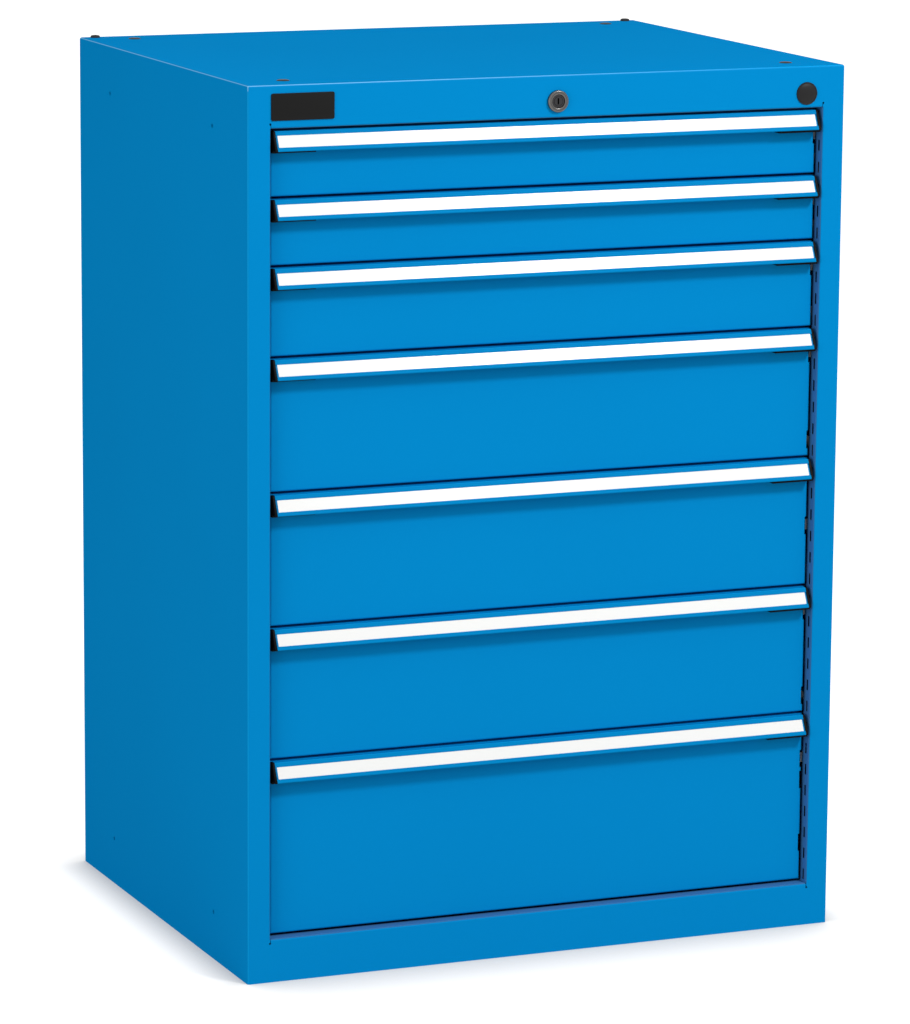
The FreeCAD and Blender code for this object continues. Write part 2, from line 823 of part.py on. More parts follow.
def save(node, shapes):
    """Write one sub-part; several solids go out as one group."""
    shapes = shapes if isinstance(shapes, list) else [shapes]
    solids = [solid for shape in shapes for solid in shape.Solids]
    whole = solids[0] if len(solids) == 1 else Part.makeCompound(solids)
    whole.exportStep("parts/%s.step" % node)


def main():
    os.makedirs("parts", exist_ok=True)
    side = side_panel()
    save("side_right", side)
    save("side_left", mirrored(side))
    save("top_panel", top_panel())
    save("base_panel", base_panel())
    save("back_panel", back_panel())
    upright = rear_upright()
    save("rear_upright_right", upright)
    save("rear_upright_left", mirrored(upright))
    levels = drawer_levels()
    rails = [cabinet_rail(bottom) for _, bottom in levels]
    save("cabinet_rails_right", rails)
    save("cabinet_rails_left", [mirrored(rail) for rail in rails])
    save("name_plate", name_plate())
    save("header_plug", header_plug())
    save("roof_plugs", roof_plugs())
    save("rear_corner_caps", rear_caps())
    save("lock_housing", lock_housing())
    save("lock_core", lock_core())
    save("lock_cam", lock_cam())
    save("lock_bar", lock_bar())
    save("lock_bar_guides", lock_bar_guides())
    for i, (top, bottom) in enumerate(levels):
        prefix = "drawer_%d_" % (i + 1)
        save(prefix + "tub", drawer_tub(top, bottom))
        save(prefix + "front", drawer_front(top, bottom, edge_slot_steps[i], lock_slot_steps[i]))
        save(prefix + "handle", drawer_handle(top))
        save(prefix + "label", drawer_label(top))
        save(prefix + "handle_caps", handle_caps(top))
        member = slide_member(bottom)
        save(prefix + "slides", member + [mirrored(solid) for solid in member])


main()
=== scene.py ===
"""Looks of the modular drawer cabinet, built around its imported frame."""
import json
import math

import bmesh
import bpy
from mathutils import Matrix, Vector


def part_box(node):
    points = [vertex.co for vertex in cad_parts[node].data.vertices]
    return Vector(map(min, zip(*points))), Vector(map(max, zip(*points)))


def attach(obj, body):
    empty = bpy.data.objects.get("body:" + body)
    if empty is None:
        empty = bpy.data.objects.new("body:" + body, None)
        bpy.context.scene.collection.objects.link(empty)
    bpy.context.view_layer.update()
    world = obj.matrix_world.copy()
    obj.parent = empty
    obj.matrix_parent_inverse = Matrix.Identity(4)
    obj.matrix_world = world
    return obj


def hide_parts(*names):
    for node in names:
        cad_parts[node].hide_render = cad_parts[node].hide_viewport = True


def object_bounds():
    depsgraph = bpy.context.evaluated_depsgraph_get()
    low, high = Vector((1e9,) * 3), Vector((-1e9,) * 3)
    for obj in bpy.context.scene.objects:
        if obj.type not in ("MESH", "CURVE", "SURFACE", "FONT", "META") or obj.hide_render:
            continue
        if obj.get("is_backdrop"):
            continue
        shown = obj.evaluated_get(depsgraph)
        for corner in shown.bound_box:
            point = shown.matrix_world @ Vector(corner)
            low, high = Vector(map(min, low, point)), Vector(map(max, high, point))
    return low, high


bl_info = {
    "name": "Modular drawer cabinet",
    "version": (1, 0, 0),
    "blender": (4, 5, 0),
    "location": "3D View > Sidebar > Cabinet",
    "description": "Finishes, fittings and stage for a modular drawer cabinet",
    "category": "Object",
}

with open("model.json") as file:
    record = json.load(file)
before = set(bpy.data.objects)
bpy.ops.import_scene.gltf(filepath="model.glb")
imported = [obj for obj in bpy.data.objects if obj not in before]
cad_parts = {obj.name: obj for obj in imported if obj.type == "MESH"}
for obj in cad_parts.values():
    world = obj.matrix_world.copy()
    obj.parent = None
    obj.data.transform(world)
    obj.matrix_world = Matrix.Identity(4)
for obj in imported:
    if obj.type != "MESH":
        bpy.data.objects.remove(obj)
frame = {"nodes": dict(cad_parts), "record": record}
NODES = frame["nodes"]
DRAWERS = range(1, 8)
MM = 0.001


# ------------------------ sizes and colours

class StageSettings(bpy.types.PropertyGroup):
    """Light, floor and camera."""
    surround: bpy.props.FloatProperty(
        name="Surround light", description="Strength of the even light from all round",
        default=0.56, min=0.0)
    key_level: bpy.props.FloatProperty(
        name="Key light",
        description="Brightness that the key light gives a white face turned to it",
        default=0.435, min=0.0)
    side_level: bpy.props.FloatProperty(
        name="Side light",
        description="Brightness that the side light gives a white face turned to it",
        default=0.20, min=0.0)
    key_place: bpy.props.FloatVectorProperty(
        name="Key light place", description="Middle of the key lamp's panel",
        default=(1.45, -2.75, 3.10), subtype="TRANSLATION", unit="LENGTH")
    key_size: bpy.props.FloatProperty(
        name="Key light size", description="Side of the key lamp's square panel",
        default=0.6, unit="LENGTH")
    side_place: bpy.props.FloatVectorProperty(
        name="Side light place", description="Middle of the side lamp's panel",
        default=(-4.2, -2.2, 1.2), subtype="TRANSLATION", unit="LENGTH")
    side_size: bpy.props.FloatProperty(
        name="Side light size", description="Side of the side lamp's square panel",
        default=2.2, unit="LENGTH")
    floor_side: bpy.props.FloatProperty(
        name="Floor side", description="Side of the square floor", default=80.0, unit="LENGTH")
    floor_color: bpy.props.StringProperty(
        name="Floor colour", description="The floor's pale tone, as sRGB hex", default="#C6C4C0")
    floor_glow: bpy.props.FloatProperty(
        name="Floor glow",
        description="White that the camera sees in the floor besides its own tone",
        default=0.85, min=0.0, subtype="FACTOR")
    front_shadow: bpy.props.FloatProperty(
        name="Front contact shadow",
        description="How far the contact shadow runs out before the front",
        default=0.15, unit="LENGTH")
    side_shadow: bpy.props.FloatProperty(
        name="Side contact shadow",
        description="How far the contact shadow runs out beside the cabinet",
        default=0.055, unit="LENGTH")
    contact_depth: bpy.props.FloatProperty(
        name="Contact shadow depth",
        description="How fast the contact shadow deepens towards the foot",
        default=1.6, min=0.0)
    camera_place: bpy.props.FloatVectorProperty(
        name="Camera place", description="Where the camera stands", precision=5,
        default=(-2.19234, -5.26616, 1.56184), subtype="TRANSLATION", unit="LENGTH")
    camera_heading: bpy.props.FloatProperty(
        name="Camera heading", description="Turn of the view from straight back towards the right",
        default=math.radians(22.656), subtype="ANGLE", unit="ROTATION")
    camera_pitch: bpy.props.FloatProperty(
        name="Camera pitch", description="Tilt of the view below the horizon",
        default=math.radians(10.944), subtype="ANGLE", unit="ROTATION")
    camera_roll: bpy.props.FloatProperty(
        name="Camera roll", description="Turn of the camera about its own line of sight",
        default=math.radians(0.439), subtype="ANGLE", unit="ROTATION")
    camera_lens: bpy.props.FloatProperty(
        name="Camera lens", description="Focal length in millimetres", default=174.25)


class FittingSettings(bpy.types.PropertyGroup):
    """Sizes of the fittings that are modelled over the frame."""
    lock_axis: bpy.props.FloatVectorProperty(
        name="Lock axis", description="Where the lock's axis meets the header",
        default=(0.005, -0.286, 0.971), subtype="TRANSLATION", unit="LENGTH")
    plug_axis: bpy.props.FloatVectorProperty(
        name="Plug axis", description="Where the round plug's axis meets the header",
        default=(0.311, -0.286, 0.969), subtype="TRANSLATION", unit="LENGTH")
    fixing_half_x: bpy.props.FloatProperty(
        name="Roof plugs across",
        description="Half the spacing of the roof's plugs from side to side",
        default=0.303, unit="LENGTH")
    fixing_half_y: bpy.props.FloatProperty(
        name="Roof plugs deep",
        description="Half the spacing of the roof's plugs from front to back",
        default=0.247, unit="LENGTH")
    rear_cap_x: bpy.props.FloatProperty(
        name="Rear caps across", description="Distance of a rear cap from the middle",
        default=0.342, unit="LENGTH")
    rear_cap_y: bpy.props.FloatProperty(
        name="Rear caps deep", description="Distance of the rear caps behind the middle",
        default=0.276, unit="LENGTH")
    plate_corner: bpy.props.FloatProperty(
        name="Plate corner", description="Corner radius of the blank plate",
        default=0.0022, unit="LENGTH")
    cap_rounding: bpy.props.FloatProperty(
        name="Cap rounding", description="Edge radius of the handles' moulded caps",
        default=0.0005, unit="LENGTH")
    left_foot_depth: bpy.props.FloatProperty(
        name="Left foot depth",
        description="How far the left cap's foot stands off the drawer's front",
        default=0.006, unit="LENGTH")
    right_foot_depth: bpy.props.FloatProperty(
        name="Right foot depth",
        description="How far the right cap's foot stands off the drawer's front",
        default=0.014, unit="LENGTH")
    hem_height: bpy.props.FloatProperty(
        name="Hem height", description="How far the drawer rim's hem is folded down",
        default=0.009, unit="LENGTH")
    hem_wall: bpy.props.FloatProperty(
        name="Hem wall", description="Thickness of the drawer rim's hem",
        default=0.0011, unit="LENGTH")


class FinishSettings(bpy.types.PropertyGroup):
    """Colours of the cabinet's finishes, as sRGB hex, with painted highlights and painted shade."""
    enamel: bpy.props.StringProperty(
        name="Enamel", description="Blue powder coating", default="#008DD3")
    enamel_thin: bpy.props.StringProperty(
        name="Enamel, thinner film", description="The coating where its film lies thinner",
        default="#0090D7")
    # the lighter tone on folds is a painted highlight
    enamel_fold_highlight: bpy.props.StringProperty(
        name="Enamel on folds", description="The coating where it pulls thin over a fold",
        default="#10A8EC")
    # a pale painted highlight on the roof's front fold, strongest at its left end
    enamel_crown_highlight: bpy.props.StringProperty(
        name="Enamel on the roof's fold",
        description="The coating where the roof's front fold rubs thin", default="#8CCBF5")
    # painted shade on the carcass's faces behind its skin
    enamel_inside_shade: bpy.props.StringProperty(
        name="Enamel inside", description="The sparse coating on the carcass behind its skin",
        default="#3F7AB2")
    # the darkest painted shade, behind the posts' returns and on the slots' cut edges
    enamel_hidden_shade: bpy.props.StringProperty(
        name="Enamel behind the posts", description="The near bare steel that no spray reaches",
        default="#0A1B2C")
    # a darker copy of the fronts' blue: painted shade that offsets the extra light on the handles
    shaded_profile_enamel: bpy.props.StringProperty(
        name="Enamel on handles", description="The fine matt coating on the handle profiles",
        default="#0086C7")
    # its thinner film, likewise darkened as painted shade
    shaded_profile_enamel_thin: bpy.props.StringProperty(
        name="Enamel on handles, thinner film",
        description="That coating where its film lies thinner", default="#0089CB")
    zinc: bpy.props.StringProperty(
        name="Zinc", description="Bright zinc plating", default="#C4C8C9")
    zinc_dull: bpy.props.StringProperty(
        name="Zinc, dull", description="Zinc plating where it has dulled", default="#A9AEB1")
    plate_black: bpy.props.StringProperty(
        name="Plate black", description="Anodised plate on the header", default="#141414")
    plastic_black: bpy.props.StringProperty(
        name="Plastic black", description="Moulded handle caps", default="#060607")
    plug_black: bpy.props.StringProperty(
        name="Plug black", description="Satin plugs in header and roof", default="#101011")
    rubber_black: bpy.props.StringProperty(
        name="Rubber black", description="Rubber caps on the roof", default="#171718")
    rubber_bloom: bpy.props.StringProperty(
        name="Rubber bloom", description="The dusty bloom on the rubber", default="#2A2A2B")
    chrome: bpy.props.StringProperty(
        name="Chrome", description="The lock's bezel", default="#666564")
    nickel: bpy.props.StringProperty(
        name="Dark nickel", description="The lock's core", default="#3C3C3E")
    card: bpy.props.StringProperty(
        name="Card", description="Label strips", default="#FAFAF8")
    card_fibre: bpy.props.StringProperty(
        name="Card fibre", description="Fibres in the label strips", default="#F4F4F1")


# ------------------------ small tools

def linear(code):
    """The linear colour of an sRGB hex code."""
    parts = [int(code[k:k + 2], 16) / 255 for k in (1, 3, 5)]
    return (*(c / 12.92 if c <= 0.04045 else ((c + 0.055) / 1.055) ** 2.4 for c in parts), 1.0)


def add_node(tree, kind, settings=None, links=None):
    """Adds one node. Settings fill its sockets or attributes, and links join earlier outputs to
    its sockets."""
    made = tree.nodes.new(kind)
    for key, value in (settings or {}).items():
        if isinstance(key, int) or key in made.inputs:
            made.inputs[key].default_value = value
        else:
            setattr(made, key, value)
    for key, source in (links or {}).items():
        tree.links.new(source, made.inputs[key])
    return made


def new_finish(name):
    """An empty material, its node tree and its object coordinates."""
    finish = bpy.data.materials.new(name)
    finish.use_nodes = True
    tree = finish.node_tree
    tree.nodes.clear()
    return finish, tree, add_node(tree, "ShaderNodeTexCoord").outputs["Object"]


def give_surface(finish, settings, links=None, relief=None, gloss=None):
    """Ends a material in its shader. The relief is (pattern, strength, depth), and the gloss is
    (pattern, least roughness, most roughness)."""
    tree, links = finish.node_tree, dict(links or {})
    if relief:
        height, strength, depth = relief
        bump = add_node(tree, "ShaderNodeBump", {"Strength": strength, "Distance": depth},
                        {"Height": height})
        links["Normal"] = bump.outputs["Normal"]
    if gloss:
        pattern, least, most = gloss
        spread = add_node(tree, "ShaderNodeMapRange", {"To Min": least, "To Max": most},
                          {"Value": pattern})
        links["Roughness"] = spread.outputs["Result"]
    shader = add_node(tree, "ShaderNodeBsdfPrincipled", settings, links)
    add_node(tree, "ShaderNodeOutputMaterial", None, {"Surface": shader.outputs["BSDF"]})
    return finish


# ------------------------ finishes

# sockets of a Mix node that blends colours; their names aren't unique on it
SHARE, FIRST, SECOND, BLENDED = 0, 6, 7, 2

# the largest part of a normal at which a face starts and is fully a fold with a painted highlight
FOLD_FROM, FOLD_FULL = 0.86, 0.74
# how deep the outermost folds lie in the carcass's box, from its sides and its top
FOLD_DEPTH = Vector((0.004, 0.0, 0.004))
# how far below the roof the painted highlight on its front fold starts and is full
CROWN_FROM, CROWN_FULL = 0.004, 0.003
# how far out to the right that painted highlight starts, and to the left it is full
HIGHLIGHT_FADE_FROM, HIGHLIGHT_FADE_FULL = 0.8, 0.4
# the outer skin, from each face of the carcass's box; all behind it takes painted shade
SKIN = Vector((0.0018, 0.0004, 0.0018))
# the strip behind the posts' returns, which keeps the darkest painted shade
RETURN_SHADE = Vector((0.012, 0.0, 0.0))
# the normal's y at which a face begins and fully counts as turned to the front; such faces
# behind the skin keep the darkest painted shade
CUT_FROM, CUT_FULL = -0.7, -0.9
# where a box's mask fades, as a share of the way from the box's middle to its faces
MASK_EDGE = 0.998
# a step out of the box, past all that it holds
OUT_Y, OUT_Z = Vector((0.0, 1.0, 0.0)), Vector((0.0, 0.0, 1.0))


def largest_part(tree, vector):
    """The largest of a vector's three parts, without their signs."""
    bare = add_node(tree, "ShaderNodeVectorMath", {"operation": "ABSOLUTE"}, {0: vector})
    parts = add_node(tree, "ShaderNodeSeparateXYZ", None, {0: bare.outputs[0]})
    flat = add_node(tree, "ShaderNodeMath", {"operation": "MAXIMUM"},
                    {0: parts.outputs["X"], 1: parts.outputs["Y"]})
    return add_node(tree, "ShaderNodeMath", {"operation": "MAXIMUM"},
                    {0: flat.outputs[0], 1: parts.outputs["Z"]}).outputs[0]


def within_box(tree, place, lo, hi):
    """1 inside a box and 0 outside."""
    # the box is scaled to a cube of side 2, so its faces lie where the largest part is 1
    cube = add_node(tree, "ShaderNodeMapping",
                    {"vector_type": "TEXTURE", "Location": (lo + hi) / 2, "Scale": (hi - lo) / 2},
                    {"Vector": place})
    return add_node(tree, "ShaderNodeMapRange", {"From Min": 1.0, "From Max": MASK_EDGE},
                    {"Value": largest_part(tree, cube.outputs["Vector"])}).outputs["Result"]


def less(tree, share, taken):
    """One mask less another."""
    return add_node(tree, "ShaderNodeMath", {"operation": "SUBTRACT", "use_clamp": True},
                    {0: share, 1: taken}).outputs[0]


def fold_highlight_mask(tree, place, normal, box):
    """Mask of the painted fold highlight: 1 on faces that look between two of the cabinet's
    directions, as a fold's do. In a carcass, given as its box, these are only the outermost folds,
    of posts and roof."""
    fold = add_node(tree, "ShaderNodeMapRange", {"From Min": FOLD_FROM, "From Max": FOLD_FULL},
                    {"Value": largest_part(tree, normal)}).outputs["Result"]
    if not box:
        return fold
    lo, hi = box
    return less(tree, fold, within_box(tree, place, lo + FOLD_DEPTH - OUT_Y - OUT_Z,
                                       hi - FOLD_DEPTH + OUT_Y))


def roof_highlight_mask(tree, place, fold, box):
    """Mask of the painted highlight on the roof's front fold: 1 at the left end, less to the right.
    """
    lo, hi = box
    spot = add_node(tree, "ShaderNodeSeparateXYZ", None, {0: place})
    high = add_node(tree, "ShaderNodeMapRange",
                    {"From Min": hi.z - CROWN_FROM, "From Max": hi.z - CROWN_FULL},
                    {"Value": spot.outputs["Z"]})
    highlight_fade = add_node(tree, "ShaderNodeMapRange",
                      {"From Min": HIGHLIGHT_FADE_FROM * hi.x, "From Max": HIGHLIGHT_FADE_FULL * lo.x},
                      {"Value": spot.outputs["X"]})
    crown = add_node(tree, "ShaderNodeMath", {"operation": "MULTIPLY"},
                     {0: high.outputs["Result"], 1: highlight_fade.outputs["Result"]})
    return add_node(tree, "ShaderNodeMath", {"operation": "MULTIPLY"},
                    {0: crown.outputs[0], 1: fold}).outputs[0]


def painted_shade_masks(tree, place, normal, box):
    """Two masks of painted shade: all that lies behind the skin, which gets the darkest shade, and
    the part of it that gets a lighter painted shade. The darkest stays behind the posts' returns
    and on the slots' cut edges, which face the front."""
    lo, hi = box
    hidden = within_box(tree, place, lo + SKIN, hi - SKIN)
    inner_shade_area = within_box(tree, place, lo + SKIN + RETURN_SHADE, hi - SKIN - RETURN_SHADE)
    parts = add_node(tree, "ShaderNodeSeparateXYZ", None, {0: normal})
    cut = add_node(tree, "ShaderNodeMapRange", {"From Min": CUT_FROM, "From Max": CUT_FULL},
                   {"Value": parts.outputs["Y"]})
    return hidden, less(tree, inner_shade_area, cut.outputs["Result"])


def powder_coat(name, colors, film=None, sheen=0.012, carcass=None):
    """Powder coating on sheet steel: an even, saturated blue whose film has a faint orange-peel
    ripple, a fine grain, slow changes of depth over a panel, and a painted highlight, a lighter
    line along each fold. A carcass, given as its box, has painted shade on all that lies behind its
    skin, and a pale painted highlight on the roof's front fold, fading from its left end."""
    finish, tree, place = new_finish(name)
    normal = place.node.outputs["Normal"]
    thick, thin = film or (colors.enamel, colors.enamel_thin)
    # film depth drifts over about 250 mm, as the spray passes overlap
    drift = add_node(tree, "ShaderNodeTexNoise", {"Scale": 4.0, "Detail": 2.0, "Roughness": 0.4},
                     {"Vector": place})
    tone = add_node(tree, "ShaderNodeMix",
                    {"data_type": "RGBA", FIRST: linear(thick), SECOND: linear(thin)},
                    {SHARE: drift.outputs["Fac"]}).outputs[BLENDED]
    # a painted highlight on the folds; a carcass also gets a painted highlight on the roof's front
    # fold and painted shade behind the skin
    fold = fold_highlight_mask(tree, place, normal, carcass)
    layers = [(colors.enamel_fold_highlight, fold)]
    if carcass:
        # painted shade behind the skin: hidden marks the darkest, coated the lighter one
        hidden, coated = painted_shade_masks(tree, place, normal, carcass)
        layers += [(colors.enamel_crown_highlight, roof_highlight_mask(tree, place, fold, carcass)),
                   (colors.enamel_hidden_shade, hidden), (colors.enamel_inside_shade, coated)]
    for color, share in layers:
        tone = add_node(tree, "ShaderNodeMix", {"data_type": "RGBA", SECOND: linear(color)},
                        {SHARE: share, FIRST: tone}).outputs[BLENDED]
    # ripples of 3 mm, as a cured film has, then its grain, drawn at 0.7 mm so that it shows
    relief = {}
    for scale, strength, depth in ((330.0, 0.35, 0.06 * MM), (1400.0, 0.25, 0.02 * MM)):
        grain = add_node(tree, "ShaderNodeTexNoise", {"Scale": scale, "Detail": 1.0},
                         {"Vector": place})
        bump = add_node(tree, "ShaderNodeBump", {"Strength": strength, "Distance": depth},
                        {"Height": grain.outputs["Fac"], **relief})
        relief = {"Normal": bump.outputs["Normal"]}
    # matt body under a thin, even sheen, which stays low at a glancing angle
    return give_surface(finish, {"Roughness": 0.7, "Specular IOR Level": 0.0,
                                 "Coat Weight": sheen, "Coat IOR": 2.5, "Coat Roughness": 0.42},
                        {"Base Color": tone, "Coat Normal": relief["Normal"], **relief})


def powder_coated_steel_fold_highlight(colors):
    """The coating on drawer fronts and tubs, even all over but for a painted fold highlight."""
    return powder_coat("powder_coated_steel_fold_highlight", colors)


def powder_coated_profile_shaded(colors):
    """The finer, matter coating on the handles' extruded profiles, in a darker copy of the fronts'
    blue: painted shade that offsets the extra light on the handles' slanted faces.
    """
    return powder_coat("powder_coated_profile_shaded", colors, sheen=0.004,
                       film=(colors.shaded_profile_enamel, colors.shaded_profile_enamel_thin))


def powder_coated_carcass_painted_light(colors):
    """The coating on the welded carcass, with painted shade inside and painted highlights on its
    outer folds.
    """
    lo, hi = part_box("side_right")
    front_face, rear_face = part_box("back_panel")
    # the box ends in the middle of the back panel's sheet, so its rear face counts as skin
    rear = (front_face.y + rear_face.y) / 2
    return powder_coat("powder_coated_carcass_painted_light", colors,
                       carcass=(Vector((-hi.x, lo.y, lo.z)), Vector((hi.x, rear, hi.z))))


def zinc_plated_steel(colors):
    """Bright zinc plating on rolled steel strip: a cool grey metal with soft streaks along the
    rolling direction, and duller clouds where the passivation has aged."""
    finish, tree, place = new_finish("zinc_plated_steel")
    # the clouds are about 36 mm across
    cloud = add_node(tree, "ShaderNodeTexNoise", {"Scale": 28.0, "Detail": 3.0},
                     {"Vector": place})
    tone = add_node(tree, "ShaderNodeMix",
                    {"data_type": "RGBA", FIRST: linear(colors.zinc),
                     SECOND: linear(colors.zinc_dull)}, {SHARE: cloud.outputs["Fac"]})
    # rolling streaks are 0.8 mm wide and about 60 mm long, along the strip's length
    along = add_node(tree, "ShaderNodeMapping", {"Scale": (1250.0, 16.0, 1250.0)},
                     {"Vector": place})
    streak = add_node(tree, "ShaderNodeTexNoise", {"Scale": 1.0, "Detail": 2.0},
                      {"Vector": along.outputs["Vector"]}).outputs["Fac"]
    return give_surface(finish, {"Metallic": 1.0}, {"Base Color": tone.outputs[BLENDED]},
                        relief=(streak, 0.15, 0.02 * MM), gloss=(streak, 0.28, 0.48))


def black_abs(name, body, shine):
    """Black ABS from a spark-eroded mould: a skin with a fine, even grain."""
    finish, tree, place = new_finish(name)
    # the mould's grain is drawn at 0.4 mm, coarser than the real one, so that it shows
    grain = add_node(tree, "ShaderNodeTexNoise", {"Scale": 2500.0, "Detail": 2.0},
                     {"Vector": place})
    # the gloss changes over about 11 mm, as the melt flowed
    flow = add_node(tree, "ShaderNodeTexNoise", {"Scale": 90.0, "Detail": 1.0},
                    {"Vector": place})
    return give_surface(finish, {"Base Color": linear(body), "Specular IOR Level": shine},
                        relief=(grain.outputs["Fac"], 0.4, 0.02 * MM),
                        gloss=(flow.outputs["Fac"], 0.40, 0.55))


def moulded_black_abs(colors):
    """Caps and clips: a deep, matt black."""
    return black_abs("moulded_black_abs", colors.plastic_black, shine=0.06)


def satin_black_abs(colors):
    """Plugs: a charcoal with a satin sheen."""
    return black_abs("satin_black_abs", colors.plug_black, shine=0.25)


def black_rubber(colors):
    """Moulded nitrile rubber: matt black with a dusty bloom."""
    finish, tree, place = new_finish("black_rubber")
    # the bloom gathers in specks of 2.5 mm
    bloom = add_node(tree, "ShaderNodeTexNoise", {"Scale": 400.0, "Detail": 3.0},
                     {"Vector": place}).outputs["Fac"]
    tone = add_node(tree, "ShaderNodeMix",
                    {"data_type": "RGBA", FIRST: linear(colors.rubber_black),
                     SECOND: linear(colors.rubber_bloom)}, {SHARE: bloom})
    return give_surface(finish, {"Roughness": 0.82}, {"Base Color": tone.outputs[BLENDED]},
                        relief=(bloom, 0.3, 0.03 * MM))


def black_anodised_plate(colors):
    """Black anodised aluminium: a deep satin black with a fine brushed line along its length."""
    finish, tree, place = new_finish("black_anodised_plate")
    # brushed lines are 20 mm long, and drawn 0.25 mm wide so that they show
    along = add_node(tree, "ShaderNodeMapping", {"Scale": (50.0, 4000.0, 4000.0)},
                     {"Vector": place})
    line = add_node(tree, "ShaderNodeTexNoise", {"Scale": 1.0, "Detail": 2.0},
                    {"Vector": along.outputs["Vector"]}).outputs["Fac"]
    return give_surface(
        finish, {"Base Color": linear(colors.plate_black), "Specular IOR Level": 0.12},
        relief=(line, 0.12, 0.01 * MM), gloss=(line, 0.38, 0.52))


def polished_chrome(colors):
    """Satin chrome plate on die-cast zinc: a grey metal, softened by fine handling marks."""
    finish, tree, place = new_finish("polished_chrome")
    # the marks are about 1.4 mm long
    marks = add_node(tree, "ShaderNodeTexNoise", {"Scale": 700.0, "Detail": 4.0},
                     {"Vector": place})
    return give_surface(finish, {"Base Color": linear(colors.chrome), "Metallic": 1.0},
                        gloss=(marks.outputs["Fac"], 0.24, 0.40))


def turned_nickel(colors):
    """Dark nickel plate on a turned brass core: a smoky metal with fine rings about the lock's
    axis."""
    finish, tree, place = new_finish("turned_nickel")
    lo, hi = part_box("lock_core")
    middle = (lo + hi) / 2
    centred = add_node(tree, "ShaderNodeMapping", {"Location": (-middle.x, 0.0, -middle.z)},
                       {"Vector": place})
    # the tool's rings are drawn 0.5 mm apart, coarser than the real ones, so that they show
    rings = add_node(tree, "ShaderNodeTexWave",
                     {"wave_type": "RINGS", "rings_direction": "Y",
                      "Scale": 630.0, "Distortion": 0.6},
                     {"Vector": centred.outputs["Vector"]}).outputs["Fac"]
    return give_surface(finish, {"Base Color": linear(colors.nickel), "Metallic": 1.0},
                        relief=(rings, 0.2, 0.02 * MM), gloss=(rings, 0.22, 0.36))


def coated_card(colors):
    """White card strip under a clear film: bright and even, with faint fibres and a soft sheen."""
    finish, tree, place = new_finish("coated_card")
    # paper fibres lie along the strip, and are drawn 0.3 mm wide so that they show
    along = add_node(tree, "ShaderNodeMapping", {"Scale": (700.0, 3000.0, 3000.0)},
                     {"Vector": place})
    fibre = add_node(tree, "ShaderNodeTexNoise", {"Scale": 1.0, "Detail": 3.0},
                     {"Vector": along.outputs["Vector"]}).outputs["Fac"]
    tone = add_node(tree, "ShaderNodeMix",
                    {"data_type": "RGBA", FIRST: linear(colors.card_fibre),
                     SECOND: linear(colors.card)}, {SHARE: fibre})
    return give_surface(finish, {"Roughness": 0.6, "Coat Weight": 0.25, "Coat Roughness": 0.12},
                        {"Base Color": tone.outputs[BLENDED]}, relief=(fibre, 0.15, 0.01 * MM))


CARCASS, PROFILE, PLUG = "carcass", "handle_profile", "plug"
FINISHES = {
    CARCASS: powder_coated_carcass_painted_light,
    PROFILE: powder_coated_profile_shaded,
    PLUG: satin_black_abs,
    "blue_enamel": powder_coated_steel_fold_highlight,
    "zinc_plated_steel": zinc_plated_steel,
    "black_plate": black_anodised_plate,
    "black_plastic": moulded_black_abs,
    "black_rubber": black_rubber,
    "lock_chrome": polished_chrome,
    "lock_steel": turned_nickel,
    "white_label": coated_card,
}
made_finishes = {}


def finish_for(slot):
    """The material that stands for a slot or one of its variants, made once."""
    if slot not in made_finishes:
        made_finishes[slot] = FINISHES[slot](bpy.context.scene.cabinet_finish)
    return made_finishes[slot]


class CABINET_OT_finishes(bpy.types.Operator):
    """Gives every part of the frame its procedural finish"""
    bl_idname = "cabinet.finishes"
    bl_label = "Finishes"

    def execute(self, context):
        for row in frame["record"]["subparts"]:
            part = NODES[row["node"]]
            slot = row["material_slot"]
            if row["node"].endswith("_handle"):
                slot = PROFILE
            elif slot == "blue_enamel" and not row["node"].startswith("drawer_"):
                slot = CARCASS
            part.data.materials.clear()
            part.data.materials.append(finish_for(slot))
        return {"FINISHED"}


# ------------------------ modelling steps

RIGHTWARDS, FRONTWARDS, UPWARDS = Vector((1, 0, 0)), Vector((0, -1, 0)), Vector((0, 0, 1))
# the least share of an edge or normal that lies along a direction, for it to count as that way
ALIGNED = 0.9
# edges that turn more than this are rounded by a bevel, and shaded as creases
ROUNDED_FROM, CREASED_FROM = math.radians(30), math.radians(35)
MERGE_WITHIN = 0.001 * MM


def start_piece(add, **size):
    """Adds a primitive at its size and place with nothing else selected, and opens it for
    editing."""
    bpy.ops.object.select_all(action="DESELECT")
    add(**size)
    bpy.ops.object.transform_apply(location=True, rotation=True, scale=True)
    bpy.ops.object.mode_set(mode="EDIT")
    return bpy.context.active_object


def start_block(lo, hi):
    """A block between two corners, open for editing."""
    lo, hi = Vector(lo), Vector(hi)
    return start_piece(bpy.ops.mesh.primitive_cube_add, size=1.0, location=(lo + hi) / 2,
                       scale=hi - lo)


def pick(piece, kind, test):
    """Selects only the faces or edges that pass the test."""
    bpy.ops.mesh.select_mode(type=kind)
    bpy.ops.mesh.select_all(action="DESELECT")
    shape = bmesh.from_edit_mesh(piece.data)
    for item in (shape.faces if kind == "FACE" else shape.edges):
        if test(item):
            item.select_set(True)
    shape.select_flush_mode()
    bmesh.update_edit_mesh(piece.data)


def runs(edge, direction):
    """Whether an edge runs along a direction, either way."""
    start, end = (vert.co for vert in edge.verts)
    return abs((start - end).normalized().dot(direction)) > ALIGNED


def looks(face, direction):
    """Whether a face looks in a direction."""
    return face.normal.dot(direction) > ALIGNED


